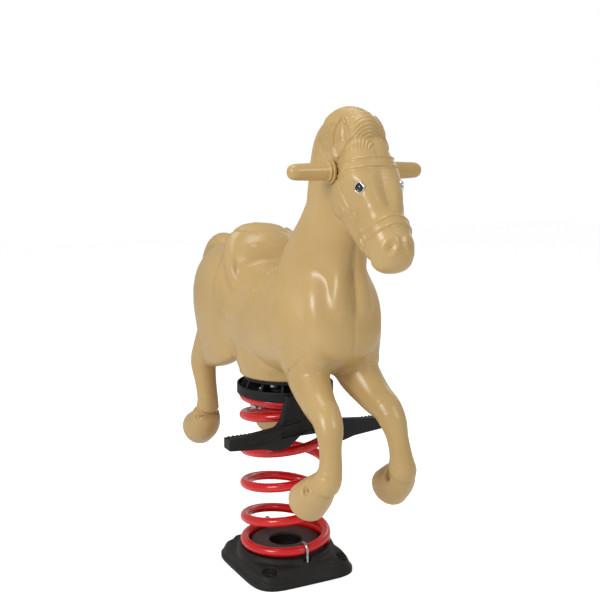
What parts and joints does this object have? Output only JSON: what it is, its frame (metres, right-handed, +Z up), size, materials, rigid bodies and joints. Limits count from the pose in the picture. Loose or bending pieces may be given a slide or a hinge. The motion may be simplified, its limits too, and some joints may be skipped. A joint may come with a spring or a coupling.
{
  "type": "spring rider horse",
  "caption": "Playground spring rider: a hollow moulded galloping horse with side grips and footrests, clamped to a coil spring that stands on a low bolt-down base.",
  "frame": {"origin": "on the ground, on the axis of the coil spring, at the centre of the base's underside", "axes": "+X the way the horse faces, +Y its left side, +Z up"},
  "size_m": [0.8443, 0.368, 0.994],
  "materials": {
    "horse_tan": "semi-gloss rotationally moulded polyethylene with a fine grain",
    "grip_tan": "semi-gloss moulded polyethylene, the same colour as the horse",
    "base_black": "matt black moulded composite",
    "bracket_black": "black textured powder coat on cast aluminium",
    "spring_red": "gloss red powder coat on spring steel",
    "hardware_zinc": "bright zinc plate",
    "eye_silver": "polished",
    "eye_black": "gloss black"
  },
  "bodies": {
    "base": {"base_moulding": "base_black", "lower_clamp_front": "hardware_zinc", "lower_clamp_washer_front_inner": "hardware_zinc", "lower_clamp_nut_front_inner": "hardware_zinc", "lower_clamp_washer_front_outer": "hardware_zinc", "lower_clamp_nut_front_outer": "hardware_zinc", "lower_clamp_rear": "hardware_zinc", "lower_clamp_washer_rear_inner": "hardware_zinc", "lower_clamp_nut_rear_inner": "hardware_zinc", "lower_clamp_washer_rear_outer": "hardware_zinc", "lower_clamp_nut_rear_outer": "hardware_zinc"},
    "spring_foot": {"spring_lower": "spring_red"},
    "spring_core": {"spring_middle": "spring_red"},
    "rider": {"spring_upper": "spring_red", "footrest_bracket": "bracket_black", "upper_clip_1": "hardware_zinc", "upper_clip_bolt_1": "hardware_zinc", "upper_clip_nut_1": "hardware_zinc", "upper_clip_2": "hardware_zinc", "upper_clip_bolt_2": "hardware_zinc", "upper_clip_nut_2": "hardware_zinc", "upper_clip_3": "hardware_zinc", "upper_clip_bolt_3": "hardware_zinc", "upper_clip_nut_3": "hardware_zinc", "mounting_ring": "hardware_zinc", "mounting_bolt_1": "hardware_zinc", "mounting_nut_1": "hardware_zinc", "mounting_bolt_2": "hardware_zinc", "mounting_nut_2": "hardware_zinc", "mounting_bolt_3": "hardware_zinc", "mounting_nut_3": "hardware_zinc", "mounting_bolt_4": "hardware_zinc", "mounting_nut_4": "hardware_zinc", "horse_body": "horse_tan", "front_leg_left": "horse_tan", "front_leg_right": "horse_tan", "hind_leg_left": "horse_tan", "hind_leg_right": "horse_tan", "handle_bar": "hardware_zinc", "grip_collar_left": "grip_tan", "grip_left": "grip_tan", "grip_collar_right": "grip_tan", "grip_right": "grip_tan", "eye_bezel_left": "eye_silver", "eye_pupil_left": "eye_black", "eye_bezel_right": "eye_silver", "eye_pupil_right": "eye_black"}
  },
  "joints": [
    {"name": "sway", "type": "hinge", "parent": "base", "child": "spring_foot", "pos_m": [0, 0, 0.15], "axis": [1, 0, 0], "range_deg": [-12, 12], "stiffness_Nm_per_rad": 550, "deforming": ["spring_lower"]},
    {"name": "bounce", "type": "slide", "parent": "spring_foot", "child": "spring_core", "axis": [0, 0, 1], "range_m": [-0.025, 0.008], "stiffness_N_per_m": 60000, "springref_m": 0.0026, "deforming": ["spring_middle"]},
    {"name": "rock", "type": "hinge", "parent": "spring_core", "child": "rider", "pos_m": [0, 0, 0.25], "axis": [0, 1, 0], "range_deg": [-15, 15], "stiffness_Nm_per_rad": 550, "deforming": ["spring_upper"]}
  ]
}
